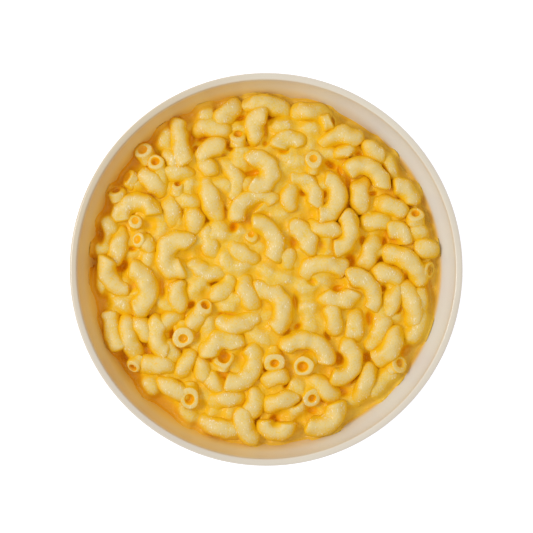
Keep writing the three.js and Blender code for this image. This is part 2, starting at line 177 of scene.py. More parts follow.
# Elbows that show their side. Each has its two ends in plan, how far its back bulges to the
# left of the line from the first to the second, and its height. Sauce covers the low ones.
ELBOWS = [
    # far side, from the left
    (-49, 58, -45.5, 68.5, 0.8, LOW),
    (-42, 73, -38, 50, -2, TOP),
    (-31, 74, -26, 75.2, 1, LOW),
    (-35, 68, -18.5, 65, 2, MID),
    (-22.5, 70.5, -14, 78.5, 1.2, MID),
    (-10, 77.5, 9.5, 74, 4.1, MID),
    (-2.5, 61.5, 1, 74.5, 5.2, TOP),
    (14, 74.8, 30, 73.2, 2, MID),
    (3.5, 68.5, 12, 68, 0.5, LOW),
    (18, 67, 25, 68, 0.5, LOW),
    (5, 57.5, 17, 58.5, 4.8, MID),
    (27.5, 60, 44.5, 60, 4.4, TOP),
    (36, 52.5, 42, 55, 2.5, MID),
    (50, 62, 57, 55, -2.5, MID),
    (58, 55.5, 60, 44.5, 0.5, LOW),
    # left of the middle, behind
    (-20.5, 59, -30.5, 51.5, -3, TOP),
    (-32, 51, -26.5, 45.5, 1.5, MID),
    (-28.5, 44, -22.5, 25, -1.6, TOP),
    (-16, 57, -8, 57, 0.4, LOW),
    (-22.5, 52.5, -17, 33, 5.2, MID),
    (-15, 51.5, -9, 51.5, 0.3, LOW),
    (-13, 40.5, -6, 40.5, 0.3, LOW),
    (-9, 51, -7.5, 41, 10.5, TOP),
    (-14, 22.5, 5, 31.5, 8.5, TOP),
    (-46, 58, -44.5, 49, 0.5, MID),
    (-48, 46, -36.5, 46.5, 0.4, MID),
    (-59, 45, -50, 37.5, 1, TOP),
    (-45, 34.5, -33, 31.5, 0.4, MID),
    (-46.5, 33, -44.5, 21, 0.5, MID),
    (-35, 29, -35, 19, 0.5, MID),
    (-24.5, 21.5, -20.5, 18.5, 0, LOW),
    # right of the middle, behind
    (12, 29.5, 13, 41.5, 1.5, MID),
    (11.5, 43.5, 22.5, 29.5, 6, MID),
    (25, 26, 28, 44, -8.2, TOP),
    (38, 46.5, 55.5, 38.5, 7.1, TOP),
    (47, 43, 47, 29, -2.5, MID),
    (64, 42, 73.5, 32.5, 3.4, MID),
    (53.5, 32, 65.5, 26.8, 1, MID),
    (70, 19.5, 76, 17.2, 0, LOW),
    (73.5, 9.5, 81, 10, 0.3, MID),
    (46.5, 21.5, 58, 22.8, 1.2, MID),
    (58, 19, 67.5, 12, 3.2, MID),
    (36.5, 27, 32.5, 9.5, 6, TOP),
    (21.5, 20, 34.5, 18, 0.3, TOP),
    # middle
    (-28, 20, -23.5, 4, -1.2, MID),
    (-18, 14, -5, 6, -1.7, MID),
    (-36, 11, -38.5, 0.5, -11.6, TOP),
    (-7.5, 22.5, 2.5, 4.2, 6.4, TOP),
    (11, 20, 18.5, 7.5, 5, TOP),
    (10.3, 8, 10.3, 1, 0, MID),
    (-3.5, 0.5, 4, -4.5, 1, LOW),
    (4, -3.5, 12, -5, 0.5, LOW),
    (-35.5, 4.5, -19, 0.5, -3.8, MID),
    (-18, -3, -26, -12.5, 3, MID),
    (-43, -8, -42.5, -19, 0.5, TOP),
    (-11, -4, -5.5, -18, -1.1, MID),
    (-5.5, -10, 3, -29.5, 9.4, TOP),
    (15, -7, 20.5, -11.5, 0, LOW),
    (17, -18.5, 23.5, -18.5, 0.3, LOW),
    (18.5, -24, 23.5, -30, 0.4, LOW),
    (-28.3, -22.5, -27.5, -31, 0.3, LOW),
    (-22, -17, -15, -18.5, 0, LOW),
    (-22.5, -25, -3, -19.5, -4, TOP),
    (18, -2.5, 37.5, -0.8, 4.6, TOP),
    (27, -11, 43, -10, -4.9, MID),
    (31, -19.5, 33, -29.5, 0.5, TOP),
    # left side
    (-70, 22.5, -53.5, 25.5, 8.4, TOP),
    (-77, 24, -74, 18, 0, LOW),
    (-81, 9, -76, 10.5, 0, LOW),
    (-70, 18.5, -74.5, 5, 1.6, MID),
    (-75.5, 6, -66, -9.5, -5.4, TOP),
    (-79.5, 1, -75.5, -11, -1.5, LOW),
    (-66, 0.5, -64, -20, 8.2, TOP),
    (-73, -14, -65, -20, 0.5, LOW),
    (-76.5, -20.5, -71.5, -40, -1.5, MID),
    (-66.5, -24, -61.5, -43, -2, TOP),
    (-62, -25, -57, -33, 0.5, MID),
    (-50, -23, -46, -39.5, -5.2, TOP),
    (-51, -28, -41, -22, 0.5, MID),
    # right side
    (52.5, 17, 47, 1.5, 0.8, MID),
    (57.5, 7.5, 74.5, -7, 4.6, TOP),
    (53, -1.5, 64, -4.5, 0.8, MID),
    (63.5, -7, 58, -20, 0.8, MID),
    (65, -8.5, 69, -31, 4, TOP),
    (73, -9.5, 73.5, -19, 1, LOW),
    (76, -20, 69.5, -35.5, 2.5, LOW),
    (38.5, -4, 50, -19.8, 6.8, TOP),
    (42.5, -18.5, 42, -33, 0.6, MID),
    (55, -19.5, 49.5, -37, 3.6, MID),
    (62, -29, 53, -43, 3, TOP),
    # near side, from the left
    (-60, -46.3, -46, -46, 0.6, TOP),
    (-47.5, -36, -43.5, -43.5, -0.6, MID),
    (-58, -53, -54, -59, 0.5, LOW),
    (-50.5, -54.5, -39, -61.5, 0.6, MID),
    (-36, -40, -42, -50, 0.5, MID),
    (-33, -42, -30, -52, 0.5, MID),
    (-29, -51, -20, -60, 0.8, MID),
    (-26, -64, -12, -62, 0.8, MID),
    (-31, -72.5, -12, -77, -1.8, MID),
    (-27, -42.5, -13, -38.5, 7, TOP),
    (-9.5, -36, -19.8, -54, 8.6, TOP),
    (-9, -31, 3, -37, 1.3, LOW),
    (8.5, -39.5, 28.5, -46.5, 9.3, TOP),
    (35, -35.5, 31, -51, 9.2, TOP),
    (49.5, -47.5, 43.5, -62.5, 1, TOP),
    (58.5, -50, 49.3, -60.8, 1, LOW),
    (-6, -58, -9, -70, 2.4, MID),
    (-9.5, -67.5, -4.5, -82, -3.6, TOP),
    (20, -52, 32, -62, 0.8, TOP),
    (12, -54, 19, -60, 0.3, LOW),
    (0, -54, 9, -51, 0.4, MID),
    (-1, -66.2, 13, -62, 0.6, TOP),
    (12, -69, 18, -65, 0.3, LOW),
    (-1, -72, 11, -73, -5.6, TOP),
    (20, -75, 33.5, -64.5, -6.5, TOP),
    # behind the open ends of tubes that lean far over
    (-52, 48, -50.5, 40, 0.3, MID),
    (-65, 44.5, -61.5, 40, 0.3, LOW),
    (-71, 35, -69, 30, 0.3, LOW),
    (-31.5, -20.5, -36.5, -27, 0.4, MID),
    (-59.5, 13.5, -56, 10, 0.4, MID),
    (62, -49, 58, -52, 0.3, LOW),
]

# Elbows that stand with an open end up. Each has the middle of that end in plan, the
# direction in which the tube goes down from it and how far the end is from facing straight
# up, both in degrees, its height, its radius, and the depth and radius of its bore.
STANDING = [
    (-59.3, 57.4, 300, 25, MID, 3.8, 1.2, 1.4),
    (-53.2, 51.8, 290, 28, TOP, 3.9, 2.4, 1.5),
    (-67.0, 44.5, 320, 50, MID, 4.2, 0.8, 1.5),
    (-72.2, 38.2, 285, 45, MID, 4.0, 2.4, 1.6),
    (-42.4, 41.3, 260, 40, MID, 3.6, 2.0, 1.3),
    (-63, 23.5, 270, 15, LOW, 3.4, 0.4, 1.0),
    (-61.8, 14.2, 345, 30, TOP, 3.5, 0.8, 1.3),
    (-13.5, 65.0, 270, 40, MID, 3.9, 1.8, 1.5),
    (32.0, 71.8, 200, 70, MID, 4.2, 2.0, 1.7),
    (22.6, 53.0, 270, 20, MID, 4.2, 0.8, 1.1),
    (71.7, 27, 270, 35, MID, 4.1, 2.0, 1.5),
    (79.3, -0.5, 180, 50, LOW, 3.9, 1.6, 1.9),
    (-7.2, 16.8, 300, 20, LOW, 3.3, 0.6, 0.9),
    (-29.0, -17.0, 235, 38, TOP, 3.9, 2.6, 1.6),
    (-39.6, -33.3, 90, 15, TOP, 4.7, 1.6, 1.6),
    (-20.3, -42, 260, 30, MID, 4.9, 2.6, 2.6),
    (-64, -47.3, 60, 40, MID, 3.4, 2.4, 1.2),
    (64.6, -44.8, 215, 38, MID, 4.2, 2.0, 1.6),
    (-36.7, -62.3, 90, 15, MID, 4.5, 2.4, 1.7),
    (4.0, -45.3, 90, 15, MID, 4.7, 2.0, 1.5),
    (17.5, -46.7, 45, 10, TOP, 4.6, 2.6, 1.9),
    (22.2, -62, 100, 18, MID, 4.4, 2.0, 1.3),
]

# Lower elbows that fill what the others leave, on a sunflower spiral of spots.
FILL_SPOTS = 620
FILL_REACH = 76  # of the spiral
FILL_CLEARANCE = 3.8  # from a spot to the nearest centreline in plan
FILL_CHORD = (8, 16)
FILL_BULGE = (0.5, 5)
FILL_RISE = (2.6, 5)  # of a tube's highest point above the sauce round it
FILL_RADIUS = 4.2
FILL_SEED = 11
DEEP_HOLLOW = 3
HOLLOW_MARGIN = 1.2  # that these elbows keep to a deep hollow
HOLLOW_POWER = 3  # the higher, the steeper are the sides of a hollow
HOLLOW_SHAPE = 0.65  # share of a hollow's depth that is in the surface
# Painted shade: a hollow's colour is deepened for the depth its surface lacks.
HOLLOW_PAINTED_SHADE = 0.8  # and share by which its colour is deeper

# Hollows that the sauce has left between the elbows: the middle of each in plan, half its
# length and half its width, the direction of its length in degrees, and its depth.
HOLLOWS = [
    # far side, from the left
    (-24, 76.5, 1.6, 1.2, 90, 2.5),
    (-12.3, 72.8, 2.6, 1.0, 10, 3),
    (0.8, 73.7, 2.4, 1.3, 10, 4),
    (-0.5, 67, 4.5, 1.2, 95, 2),
    (10, 77.3, 2.5, 2, 60, 4),
    (37.5, 72.2, 2.4, 1.2, -25, 2),
    (-36.5, 63.5, 4.5, 2, 80, 2.2),
    (-29.5, 63.4, 3.5, 1.3, 10, 4),
    (-34, 57.5, 1.8, 1.4, 90, 4),
    (-17.6, 59, 2.4, 1.7, 130, 4.5),
    (-21.5, 55.2, 2.8, 0.8, 0, 2.5),
    (-9, 59.8, 1.8, 0.8, 0, 2.5),
    (-0.5, 60.5, 1.2, 1.2, 0, 3),
    (8.5, 57, 2.4, 1.5, 0, 2.5),
    (31.2, 50.5, 2.8, 1.2, -30, 3.5),
    (35.5, 47.5, 2.2, 0.9, 100, 2.5),
    (44.5, 55, 1.8, 1.5, 90, 2.5),
    (49.5, 61, 4.5, 1.5, -45, 2.5),
    (57.3, 47, 5, 0.9, -58, 3),
    (61.7, 41, 2.5, 1.1, -50, 4.5),
    (64.5, 51.5, 5, 1.8, -60, 2.5),
    # right of the middle, behind
    (39.9, 34.5, 8, 1.3, 92, 4.5),
    (43.2, 27.3, 4, 1.5, -50, 4.5),
    (18.2, 37, 2.2, 1.6, 0, 3.5),
    (27.6, 36, 2.2, 1.3, 60, 3),
    (51.3, 36.6, 1.8, 0.9, 10, 3),
    (53.8, 27, 2.4, 0.9, -20, 3),
    (46.6, 13.8, 2, 1.2, 90, 4),
    (57.2, 13.5, 1.8, 1.2, 80, 3.5),
    (35.2, 17.8, 4.4, 1.2, 90, 5),
    (26.8, 10.7, 3.2, 2, 90, 2.4),
    (22.8, 17, 4.5, 0.8, -65, 2.4),
    (13, 12.3, 2.6, 1.6, 90, 2),
    (77.6, 27, 9, 1.5, 100, 2.5),
    # left of the middle, behind
    (-22, 31, 4, 0.8, -42, 3.5),
    (-28.6, 23.8, 1.7, 1.2, 30, 3),
    (-15.6, 20.3, 2.2, 1.7, 70, 4.5),
    (-8, 46, 4, 1.2, 10, 3),
    (-12.3, 45.5, 1.8, 1.2, 60, 3),
    (-4.5, 30, 5, 1, 40, 2),
    (-43.8, 10, 2.6, 1.9, 30, 2.6),
    (-40.5, 28, 4.5, 1.2, 95, 2.2),
    (-56.4, 16, 2.5, 0.8, -55, 3),
    (-64.5, 10, 2, 1.1, 0, 3),
    (-65, 27, 3, 1.3, 40, 2),
    (-58.5, 32, 0.5, 0.5, 0, 1),
    (-80, 17, 5, 1.3, 98, 3),
    # left side
    (-82.8, 1, 8, 1.5, 90, 2.4),
    (-69.3, 1.6, 2.6, 2, 30, 4.5),
    (-65, -8.8, 3.4, 2.4, 20, 2.6),
    (-50.3, -9.5, 4.5, 1.7, 95, 2.4),
    (-36.2, -17.2, 2.2, 1.3, 30, 4.5),
    (-25.2, -6.4, 2.2, 1.5, 20, 4.5),
    (-15, -8, 3.2, 1.2, 90, 2.4),
    (-59.2, -23.3, 2.6, 1.1, 22, 4),
    (-70, -26, 4.4, 1.3, 95, 3.5),
    (-58.8, -35.5, 2.3, 1.7, 80, 3),
    (-44.8, -33, 4.5, 1.3, 100, 5.5),
    (-33.2, -31, 3, 1.8, 90, 2.6),
    (-19, -21.5, 4.5, 0.8, -3, 3),
    (-67.2, -42.7, 4.5, 1.9, -45, 4.5),
    (-77, -12, 3.5, 1.5, 70, 2.2),
    # near side, from the left
    (-43.5, -53.6, 3, 0.9, -20, 2.5),
    (-36.8, -57, 2.6, 1.6, 60, 2.2),
    (-33.8, -49.4, 1.6, 1, -40, 3),
    (-27.6, -43.4, 2.5, 0.9, -15, 3),
    (-17.7, -58.2, 2.6, 1.4, 0, 2.6),
    (-12, -31.8, 2, 1.2, -40, 2.5),
    (-24, -50, 3.5, 1, 0, 2),
    (0, -48, 2.4, 1.5, -60, 4),
    (-4.6, -72.3, 3.2, 1.3, 95, 3.5),
    (3.7, -72.7, 2.1, 1.8, 90, 4.5),
    (9.5, -55.3, 1.9, 1.1, 80, 4.5),
    (15, -64.2, 2.6, 1, 35, 4),
    (28.3, -63, 1.8, 0.8, -15, 3),
    (22.5, -68, 3, 1.5, 0, 2.2),
    (37, -59, 3, 2, -30, 2.6),
    (43.5, -51, 5, 0.8, 52, 3),
    (35.3, -42.8, 2.7, 2.5, 0, 4.5),
    (48.3, -42.8, 2.3, 2.2, 0, 4),
    (29.5, -32, 2, 1.1, -60, 3.5),
    (10, -30, 2.2, 1.2, 20, 3),
    (15.4, -27.5, 1.8, 1, 40, 3),
    (14, -16, 4.5, 1.2, 95, 2.4),
    (50, -23.5, 3.2, 1.5, 95, 3.2),
    (64, -19.5, 2, 1.3, 60, 2.6),
    # right of the middle
    (40.2, 3.8, 3, 2.3, 60, 4.5),
    (55, 3.6, 3.3, 1.6, 55, 4.5),
    (56.3, -9.3, 1.4, 1.4, 0, 4.5),
    (35, -2.6, 3, 0.8, -10, 2.5),
    (22, -5.8, 2.6, 1.6, -30, 2.6),
    (34, -9.8, 2.4, 1.6, 30, 2.6),
    (43, -7.7, 2.8, 0.8, -15, 2.5),
    (68.3, -4, 3.5, 1.2, -60, 2.6),
    (79, -9.5, 6.5, 1.6, 100, 3),
    (68.5, -38.5, 4, 1.8, 60, 2.4),
]

# Camera: straight above, with the bowl almost in the middle of the picture
PICTURE_SIZE = 533  # pixels
BOWL_PIXELS = 394  # across the rim
BOWL_MIDDLE = (266.1, 269.4)  # pixels, from the left and from the top
LENS = 85
SENSOR = 36

# Cheese. A range of noise or relief goes from where a colour begins to where it is full, and
# relief is the height over the food around.
# Colours of what lies open to the sky, from the gaps to the crests. They are deeper yellow where
# the sauce gathers and as painted shade in the gaps, and paler where it is thin and as painted
# highlight on the crests.
LIT_COLOURS = [
    (0.0, (0.745, 0.435, 0.018)),
    (0.4, (0.765, 0.470, 0.036)),
    (0.7, (0.76, 0.518, 0.095)),
    (1.0, (0.745, 0.56, 0.22)),
]
LIT_RELIEF = (-3, 2.5)
# Painted light: steep sides and gaps, which see less sky, get a brighter, deeper yellow shaded copy of
# the colours, as light scattered through the sauce would make them.
SHADED_SIDE_COLOUR = (0.85, 0.48, 0.006)  # of steep sides
SHADED_GAP_COLOUR = (0.855, 0.38, 0.001)  # of gaps
DEEP_RELIEF = (-1.5, -3.5)
SHADE_RANGE = (0, 0.7)
PATCH_LENGTH = 5
PATCH_SHARE = 0.5  # of the lit colours' scale, that the patches go through
GRAIN_LENGTH = 0.9
GRAIN_ROUGHNESS = 0.6
GRAIN_SHARE = 1.2
GRAIN_SHADE = -0.5
GRAIN_DEPTH = 0.5
GRAIN_STRENGTH = 0.6
# Painted glints: pale streaks on the crests, standing in for the wet sauce's highlights.
GLINT_COLOUR = (0.86, 0.72, 0.46)
GLINT_LENGTH = 0.7
GLINT_HEADING = math.radians(50)
GLINT_SQUEEZE = 0.45
GLINT_RANGE = (0.58, 0.7)
GLINT_PATCHES = (0.46, 0.64)
GLINT_RELIEF = (0.2, 1.6)
SPECK_COLOUR = (0.85, 0.45, 0.02)
SPECK_LENGTH = 1.7
SPECK_RANGE = (0.7, 0.78)
SPECK_SHARE = 0.6
# Along the wall, where the food lies low, the sauce is deeper yellow. It gathers there, and this is
# partly painted shade. On the left it is painted darker still, as shade.
EDGE_COLOUR = (0.82, 0.525, 0.055)  # of the sauce along the wall
PAINTED_EDGE_SHADE = (0.79, 0.33, 0.008)  # and on the left, painted shade where the wall hides the key light
EDGE_LEFT = (0, -60)
EDGE_RING = (77, 81)
EDGE_RELIEF = (1.5, -0.5)
EDGE_SHARE = 0.85
CHEESE_ROUGHNESS = 0.5
CHEESE_SPECULAR = 0.05
CHEESE_COAT = 0.35
CHEESE_COAT_ROUGHNESS = 0.12

# Glaze
GLAZE_COLOURS = [(0.3, (0.675, 0.60, 0.49)), (0.7, (0.705, 0.64, 0.525))]
SPECKLE_LENGTH = 1.5
SPECKLE_DETAIL = 4
SPECKLE_SHARE = 0.3
CLOUD_LENGTH = 30
INSIDE_TINT = (0.715, 0.705, 0.665)
INSIDE_EDGE = (INNER_RADIUS + 0.3, INNER_RADIUS - 0.6)  # radii, at the lip
INSIDE_DEPTH = (BASE_THICKNESS / 2, BASE_THICKNESS / 4)  # behind the inside's surface
# Painted shade: the whole glaze is darker towards the left of the bowl, and warmer towards the upper
# left.
PAINTED_SHADE_ZONE = (math.radians(185), -0.4, 0.7)
PAINTED_SHADE_SHARE = 0.9
PAINTED_RIM_SHADE = (0.60, 0.53, 0.43)
WARM_SHADE_ZONE = (math.radians(130), 0.2, 0.95)
PAINTED_WARM_SHADE = (0.56, 0.46, 0.315)
# Painted shade on the inner wall on the left, which faces away from the key light: tan, as if lit by
# the food.
WALL_SHADE_ZONE = (math.radians(180), -0.75, 0.5)
WALL_SHADE_COLOUR = (0.74, 0.53, 0.22)
LINE_COLOUR = (0.82, 0.53, 0.10)  # of a line of sauce on the wall just above the food, partly painted shade
LINE_WIDE = (50, SAUCE_HEIGHT)  # heights of the line where the painted wall shade is
LINE_NARROW = (44, 41)  # and elsewhere
LINE_ZONE = (math.radians(92), 0.95, 0.5)  # it is full away from this bearing
GLAZE_ROUGHNESS = 0.38
GLAZE_COAT = 0.5
GLAZE_COAT_ROUGHNESS = 0.12

# Stage
TABLE_SIZE = 6000
TABLE_COLOUR = (0.87, 0.88, 0.96)
TABLE_ROUGHNESS = 0.8
TABLE_GLOW = 0.38
KEY_BEARING = math.radians(172)
KEY_ELEVATION = math.radians(45)
KEY_DISTANCE = 1200
KEY_SIZE = 480
KEY_LEVEL = 0.38  # radiance of a white surface that faces the key light
SKY_LEVEL = 0.82  # the same from the sky alone on a level surface
SKY_SHOWN = 1  # level of the sky itself in the picture


# ---------------------------------------------------------------- small helpers


def unit(vector):
    return vector / np.linalg.norm(vector)


def in_plan(angle):
    return np.array([math.cos(angle), math.sin(angle), 0.0])


def wave_noise(points, length, seed, waves=40):
    """Smooth noise of about unit size: plane waves of about one length in seeded directions."""
    rng = np.random.default_rng(seed)
    directions = rng.normal(size=(waves, points.shape[-1]))
    directions /= np.linalg.norm(directions, axis=1, keepdims=True)
    lengths = length * rng.uniform(*WAVE_SPREAD, waves)
    phases = rng.uniform(0, 2 * math.pi, waves)
    angles = points @ (directions * (2 * math.pi / lengths)[:, None]).T + phases
    return np.sin(angles).sum(-1) * math.sqrt(2 / waves)


def smooth_step(low, high, value):
    share = np.clip((value - low) / (high - low), 0, 1)
    return share * share * (3 - 2 * share)


def facing(x, y, side, start, end):
    """1 towards a side and 0 away from it. Start and end are cosines of the angle from it."""
    return smooth_step(start, end, np.cos(np.arctan2(y, x) - side))


def make_piece(name, points, faces, material):
    """A smooth mesh object from points in millimetres, which rides with the dish."""
    mesh = bpy.data.meshes.new(name)
    mesh.from_pydata((points * MM).tolist(), [], [list(map(int, f)) for f in faces])
    mesh.validate()
    mesh.shade_smooth()
    piece = bpy.data.objects.new(name, mesh)
    bpy.context.scene.collection.objects.link(piece)
    mesh.materials.append(material)
    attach(piece, "root")
    return piece


def ring_faces(rings, sides):
    """Quads between closed rings of points that follow each other."""
    ring = np.arange(rings - 1)[:, None] * sides
    side = np.arange(sides)[None, :]
    following = (side + 1) % sides
    quads = np.stack(
        [ring + side, ring + following, ring + sides + following, ring + sides + side], -1
    )
    return quads.reshape(-1, 4)


def turned(profile, angles):
    """The points of a profile at each of the angles round the bowl's axis."""
    radius, height = profile[:, :1], profile[:, 1:]
    points = [radius * np.cos(angles), radius * np.sin(angles), height + 0 * angles]
    return np.stack(points, -1).reshape(-1, 3)


# ---------------------------------------------------------------- bowl


def wall_profile(at_middle=0, at_lip=0, steps=FINE_WALL_STEPS):
    """Radius and height of the inside, from the middle of the bowl's floor to its lip.

    The profile is moved out through the wall, by one distance at the middle and another at the lip.
    """
    lip_slope = WALL_POWER * INNER_DEPTH / INNER_RADIUS
    slope = math.atan(lip_slope) * np.arange(steps + 1) / steps
    share = (np.tan(slope) / lip_slope) ** (1 / (WALL_POWER - 1))
    move = at_middle + (at_lip - at_middle) * share
    radius = INNER_RADIUS * share + move * np.sin(slope)
    height = FLOOR_HEIGHT + INNER_DEPTH * share**WALL_POWER - move * np.cos(slope)
    return np.stack([radius, height], -1)


def rounded(x, z, radius, first_quarter, steps):
    """A quarter of a circle. Quarter 0 goes from outwards to upwards, and 1 from there on."""
    start = first_quarter * math.pi / 2
    angles = np.linspace(start, start + math.pi / 2, steps)
    return np.array([x, z]) + radius * np.stack([np.cos(angles), np.sin(angles)], -1)


def bowl_profile():
    """Radius and height from under the middle of the bowl, round its outside and back inside."""
    foot_inner = FOOT_RADIUS - FOOT_WIDTH
    lip_outer = (RIM_RADIUS - LIP_OUTER_ROUND, RIM_HEIGHT - LIP_FALL - LIP_OUTER_ROUND)
    lip_inner = (INNER_RADIUS + LIP_INNER_ROUND, RIM_HEIGHT - LIP_INNER_ROUND)
    outside = wall_profile(BASE_THICKNESS, LIP_THICKNESS)
    parts = [
        [[BOWL_AXIS_GAP, FOOT_HEIGHT]],
        [[foot_inner - FOOT_CHAMFER[0], FOOT_HEIGHT], [foot_inner, FOOT_HEIGHT - FOOT_CHAMFER[1]]],
        rounded(foot_inner + FOOT_ROUND, FOOT_ROUND, FOOT_ROUND, 2, FOOT_ROUND_STEPS),
        rounded(FOOT_RADIUS - FOOT_ROUND, FOOT_ROUND, FOOT_ROUND, 3, FOOT_ROUND_STEPS),
        outside[outside[:, 0] > FOOT_RADIUS + FOOT_SPACE],
        rounded(*lip_outer, LIP_OUTER_ROUND, 0, LIP_STEPS),
        rounded(*lip_inner, LIP_INNER_ROUND, 1, LIP_STEPS)[:-1],
        wall_profile()[:0:-1],
        [[BOWL_AXIS_GAP, FLOOR_HEIGHT]],
    ]
    return np.concatenate(parts)


def make_bowl(material):
    profile = bowl_profile()
    points = turned(profile, 2 * math.pi * np.arange(BOWL_SIDES) / BOWL_SIDES)
    faces = ring_faces(len(profile), BOWL_SIDES).tolist()
    last = len(points) - BOWL_SIDES
    faces += [list(range(BOWL_SIDES))[::-1], list(range(last, len(points)))]
    bowl = make_piece("coupe_bowl", points, faces, material)
    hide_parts("bowl")


# ---------------------------------------------------------------- elbows


class Arc:
    """A circular centreline in space. The vectors out and along are as long as its radius."""

    def __init__(self, tube_radius, centre, out, along, start, end):
        self.tube_radius = tube_radius
        self.centre, self.out, self.along = centre, out, along
        self.start, self.end = start, end
        self.radius = np.linalg.norm(out)
        self.length = self.radius * (end - start)

    def at(self, turns):
        turns = np.asarray(turns)[..., None]
        return self.centre + self.out * np.cos(turns) + self.along * np.sin(turns)

    def frame_at(self, distance):
        """Points, and the directions out of the bend and across it, at distances from the start."""
        turns = self.start + np.asarray(distance) / self.radius
        points = self.at(turns)
        outward = (points - self.centre) / self.radius
        across = unit(np.cross(self.out, self.along))
        return points, outward, np.broadcast_to(across, outward.shape)

    def knots(self):
        return self.at(np.linspace(self.start, self.end, KNOTS))


def elbow_arc(row, index, mean_radius, bend_share):
    """The flatter its bulge looks from above, the more an elbow stands up on its ends."""
    x1, y1, x2, y2, bulge, top = row
    tube_radius = mean_radius * (1 + SIZE_SPREAD * math.sin(SIZE_TURN * index))
    chord = math.hypot(x2 - x1, y2 - y1)
    bulge_true = max(abs(bulge), bend_share * chord)
    radius = (chord**2 / 4 + bulge_true**2) / (2 * bulge_true)
    lean = math.acos(abs(bulge) / bulge_true)
    heading = math.atan2(y2 - y1, x2 - x1)
    side = in_plan(heading + math.copysign(math.pi / 2, bulge or 1))
    tip = TIP * math.sin(index * GOLDEN_ANGLE)
    crest = np.array([(x1 + x2) / 2, (y1 + y2) / 2, 0.0]) + side * abs(bulge)
    crest[2] = top - tube_radius - abs(tip) * chord / 2
    out = side * math.cos(lean) + UP * math.sin(lean)
    along = in_plan(heading) * math.cos(tip) + UP * math.sin(tip)
    half_turn = 2 * math.atan2(bulge_true, chord / 2)
    centre = crest - out * radius
    return Arc(tube_radius, centre, out * radius, along * radius, -half_turn, half_turn)


def standing_arc(row):
    x, y, toward, lean, top, tube_radius, _, _ = row
    heading = in_plan(math.radians(toward))
    angle = math.radians(lean)
    end = np.array([x, y, top - tube_radius * math.sin(angle)])
    down = heading * math.sin(angle) - UP * math.cos(angle)
    inward = heading * math.cos(angle) + UP * math.sin(angle)
    centre = end + inward * STANDING_BEND
    turn = max(math.pi / 2 - angle, STANDING_TURN)
    return Arc(tube_radius, centre, -inward * STANDING_BEND, down * STANDING_BEND, 0, turn)


def wall_excess(arc):
    """How far an arc has to move towards the middle of the bowl for its tube to clear the wall."""
    inset = arc.tube_radius / arc.radius
    tips = arc.at([arc.start, arc.end])
    body = arc.at(np.linspace(arc.start + inset, arc.end - inset, BODY_SAMPLES))
    side_clearance = arc.tube_radius - WALL_OVERLAP
    excess = 0
    for points, clearance, gap in ((tips, TIP_CLEARANCE, 0), (body, side_clearance, WALL_GAP)):
        limit = wall_profile(-clearance, -clearance)
        x, y, z = points.T
        room = np.interp(z, limit[:, 1], limit[:, 0]) - gap * facing(x, y, *GAP_ZONE)
        excess = max(excess, (np.hypot(x, y) - room).max())
    return excess


def clear_of_wall(arc):
    """Moves an arc towards the middle of the bowl until its tube clears the wall."""
    middle = arc.at((arc.start + arc.end) / 2) * (1, 1, 0)
    arc.centre = arc.centre - unit(middle) * wall_excess(arc)
    return arc


def placed_elbow(row, index, mean_radius=TUBE_RADIUS):
    """An elbow, laid flatter where its ends would otherwise reach into the wall."""
    arcs = [elbow_arc(row, index, mean_radius, share) for share in BEND_SHARES]
    fitting = [arc for arc in arcs if wall_excess(arc) < MOST_MOVE]
    return clear_of_wall(fitting[0] if fitting else arcs[-1])


def hollow_share(x, y, hollow, margin=0.0):
    """Distance from the middle of a hollow, as a share of what lies to its edge that way."""
    hollow_x, hollow_y, half_length, half_width, heading, _ = hollow
    turn = math.radians(heading)
    along = (x - hollow_x) * math.cos(turn) + (y - hollow_y) * math.sin(turn)
    across = (y - hollow_y) * math.cos(turn) - (x - hollow_x) * math.sin(turn)
    return np.hypot(along / (half_length + margin), across / (half_width + margin))


def fill_arcs(arcs):
    """Lower elbows on the spots of a sunflower spiral that the other centrelines leave free."""
    rng = np.random.default_rng(FILL_SEED)
    points = [p for arc in arcs for p in arc.knots()[:, :2]]
    deep = [hollow for hollow in HOLLOWS if hollow[-1] >= DEEP_HOLLOW]
    fills = []
    for i in range(FILL_SPOTS):
        spot = in_plan(i * GOLDEN_ANGLE) * FILL_REACH * math.sqrt((i + 0.5) / FILL_SPOTS)
        if np.hypot(*(np.array(points) - spot[:2]).T).min() < FILL_CLEARANCE:
            continue
        half = in_plan(rng.uniform(0, math.pi)) * rng.uniform(*FILL_CHORD) / 2
        (x1, y1, _), (x2, y2, _) = spot - half, spot + half
        top = sauce_level(spot[0], spot[1]) + rng.uniform(*FILL_RISE)
        row = (x1, y1, x2, y2, rng.uniform(*FILL_BULGE), top)
        arc = placed_elbow(row, i, FILL_RADIUS)
        x, y, _ = arc.knots().T
        if min(hollow_share(x, y, hollow, HOLLOW_MARGIN).min() for hollow in deep) < 1:
            continue
        fills.append(arc)
        points += list(arc.knots()[:, :2])
    return fills


def rounded_end(tube_radius):
    """Distances from the tip and radii of a closed end, from its middle to the full tube."""
    angles = np.linspace(0, math.pi / 2, END_STEPS + 1)
    distance = END_SHARE * tube_radius * (1 - np.cos(angles) ** (2 / END_BLUNTNESS))
    radius = tube_radius * np.sin(angles) ** (2 / END_BLUNTNESS)
    return np.stack([distance, radius], -1)


def open_end(tube_radius, depth, bore):
    """The same for an end with its bore open, from the bore's floor over the rounded rim."""
    edge_height, edge_share = BORE_FLOOR
    waist_depth, waist_radius = BORE_WAIST
    floor = [[depth, AXIS_GAP], [depth - edge_height, bore * edge_share]]
    waist = [[depth * waist_depth, bore * waist_radius]]
    inner = rounded(LIP_ROUND, bore + LIP_ROUND, LIP_ROUND, 2, END_STEPS)[::-1]
    if depth < LIP_ROUND * SHALLOW_BORE:
        inner = inner[END_STEPS // 2 :]
    else:
        floor += waist
    rounding = min(LIP_ROUND * LIP_OUTER_SHARE, tube_radius - bore - LIP_ROUND)
    outer = rounded(rounding, tube_radius - rounding, rounding, 1, END_STEPS)[::-1]
    return np.concatenate([floor, inner, outer])


